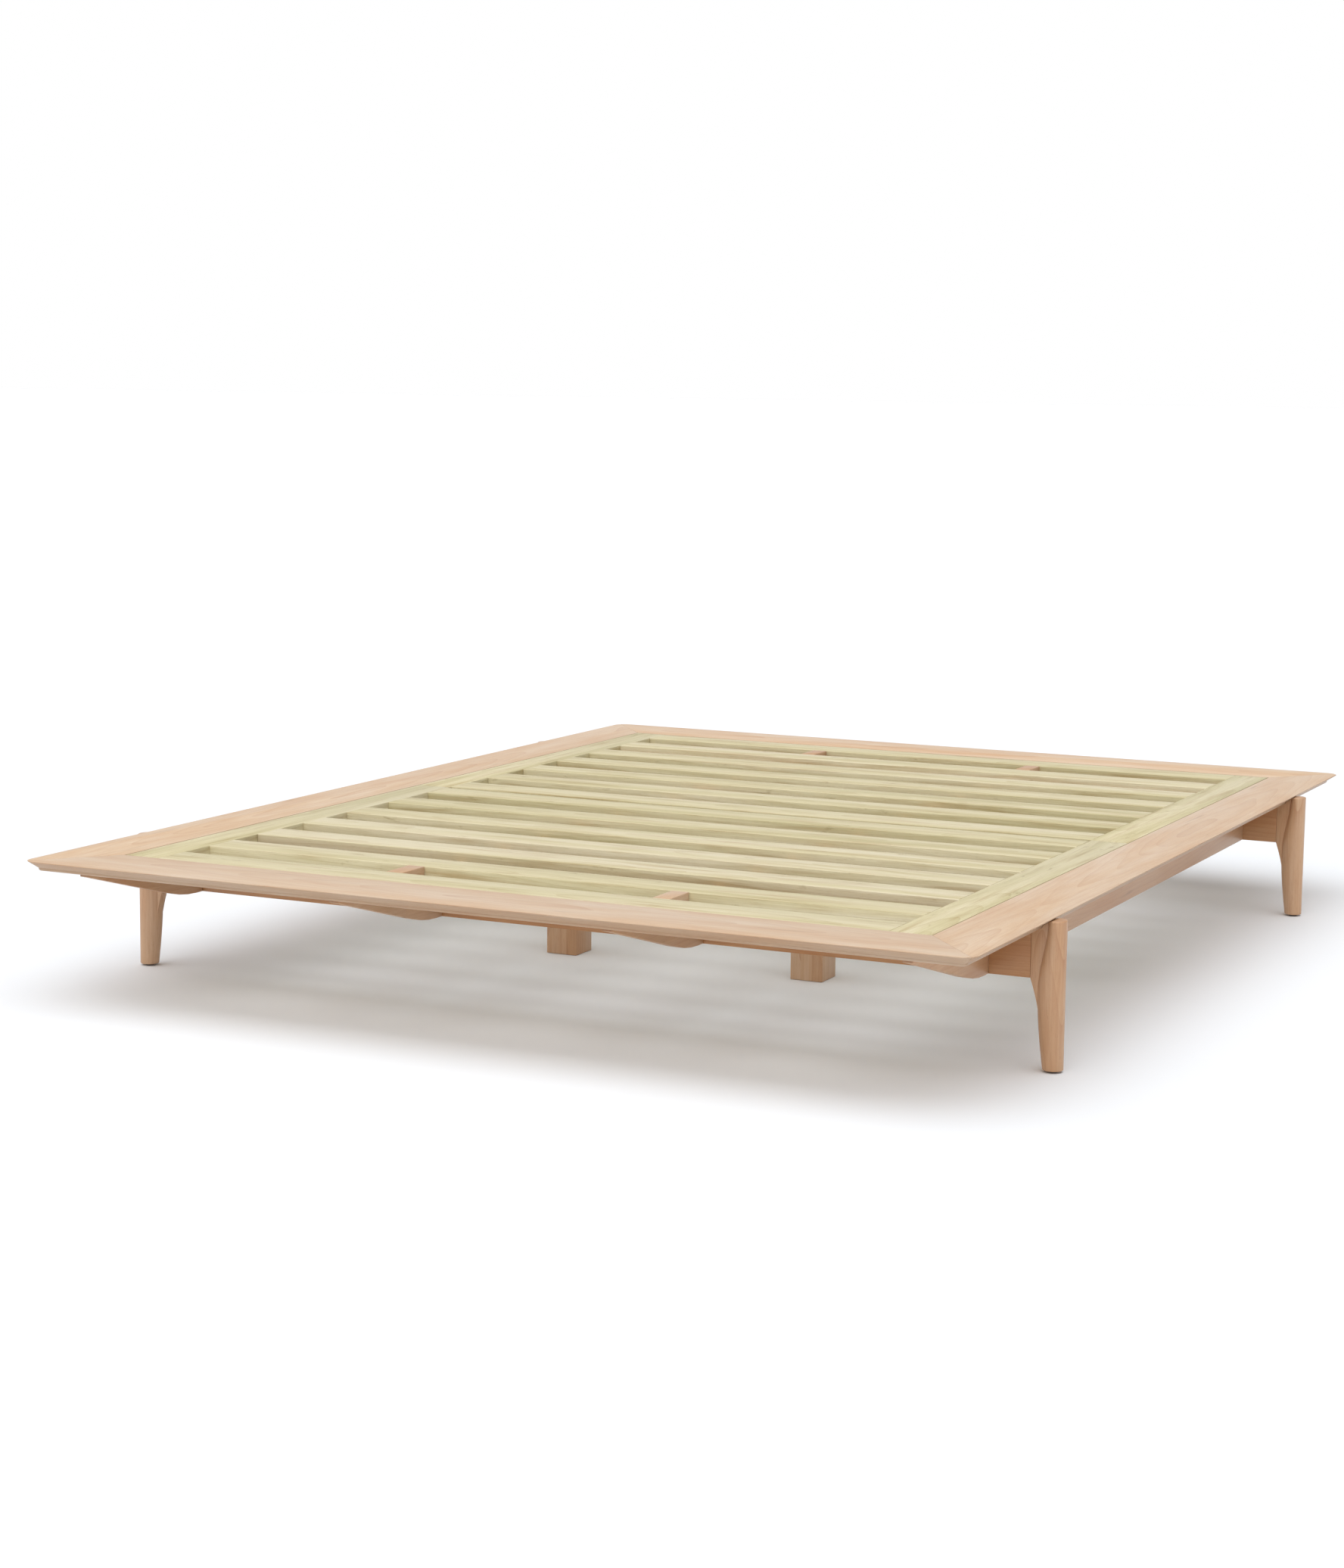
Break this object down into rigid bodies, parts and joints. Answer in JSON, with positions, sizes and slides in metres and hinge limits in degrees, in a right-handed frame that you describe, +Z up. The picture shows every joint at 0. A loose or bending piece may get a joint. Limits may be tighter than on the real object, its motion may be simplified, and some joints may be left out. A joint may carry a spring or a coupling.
{
  "type": "wooden bed frame",
  "caption": "Low solid-wood platform bed frame: mitred surround, lift-out slat panels flush in it, a grid of boards on edge, tapered corner legs and square mid posts.",
  "frame": {"origin": "on the floor, under the middle of the frame", "axes": "+X to the right seen from the foot end, +Y from the foot end to the head end, +Z up"},
  "size_m": [1.818, 2.318, 0.254],
  "materials": {
    "maple": "clear satin finished maple",
    "poplar": "clear matt finished poplar, cream to pale green",
    "glide_plastic": "dark moulded plastic"
  },
  "bodies": {
    "base": {"surround_board_foot": "maple", "surround_board_head": "maple", "surround_board_left": "maple", "surround_board_right": "maple", "leg_foot_left": "maple", "leg_foot_right": "maple", "leg_head_left": "maple", "leg_head_right": "maple", "glide_leg_foot_left": "glide_plastic", "glide_leg_foot_right": "glide_plastic", "glide_leg_head_left": "glide_plastic", "glide_leg_head_right": "glide_plastic", "cross_beam_foot": "maple", "cross_beam_head": "maple", "side_rail_left": "maple", "stringer_left": "maple", "stringer_right": "maple", "side_rail_right": "maple", "post_foot_left": "maple", "post_foot_right": "maple", "post_head_left": "maple", "post_head_right": "maple", "locating_block_foot_left": "maple", "locating_block_foot_right": "maple", "locating_block_head_left": "maple", "locating_block_head_right": "maple"},
    "panel_foot": {"panel_foot_stile_left": "poplar", "panel_foot_stile_right": "poplar", "panel_foot_slat_1": "poplar", "panel_foot_slat_2": "poplar", "panel_foot_slat_3": "poplar", "panel_foot_slat_4": "poplar", "panel_foot_slat_5": "poplar", "panel_foot_slat_6": "poplar", "panel_foot_slat_7": "poplar"},
    "panel_head": {"panel_head_stile_left": "poplar", "panel_head_stile_right": "poplar", "panel_head_slat_1": "poplar", "panel_head_slat_2": "poplar", "panel_head_slat_3": "poplar", "panel_head_slat_4": "poplar", "panel_head_slat_5": "poplar", "panel_head_slat_6": "poplar", "panel_head_slat_7": "poplar"}
  },
  "joints": [
    {"name": "panel_foot_lift", "type": "slide", "parent": "base", "child": "panel_foot", "axis": [0, 0, 1], "range_m": [0, 0.15]},
    {"name": "panel_head_lift", "type": "slide", "parent": "base", "child": "panel_head", "axis": [0, 0, 1], "range_m": [0, 0.15]}
  ]
}
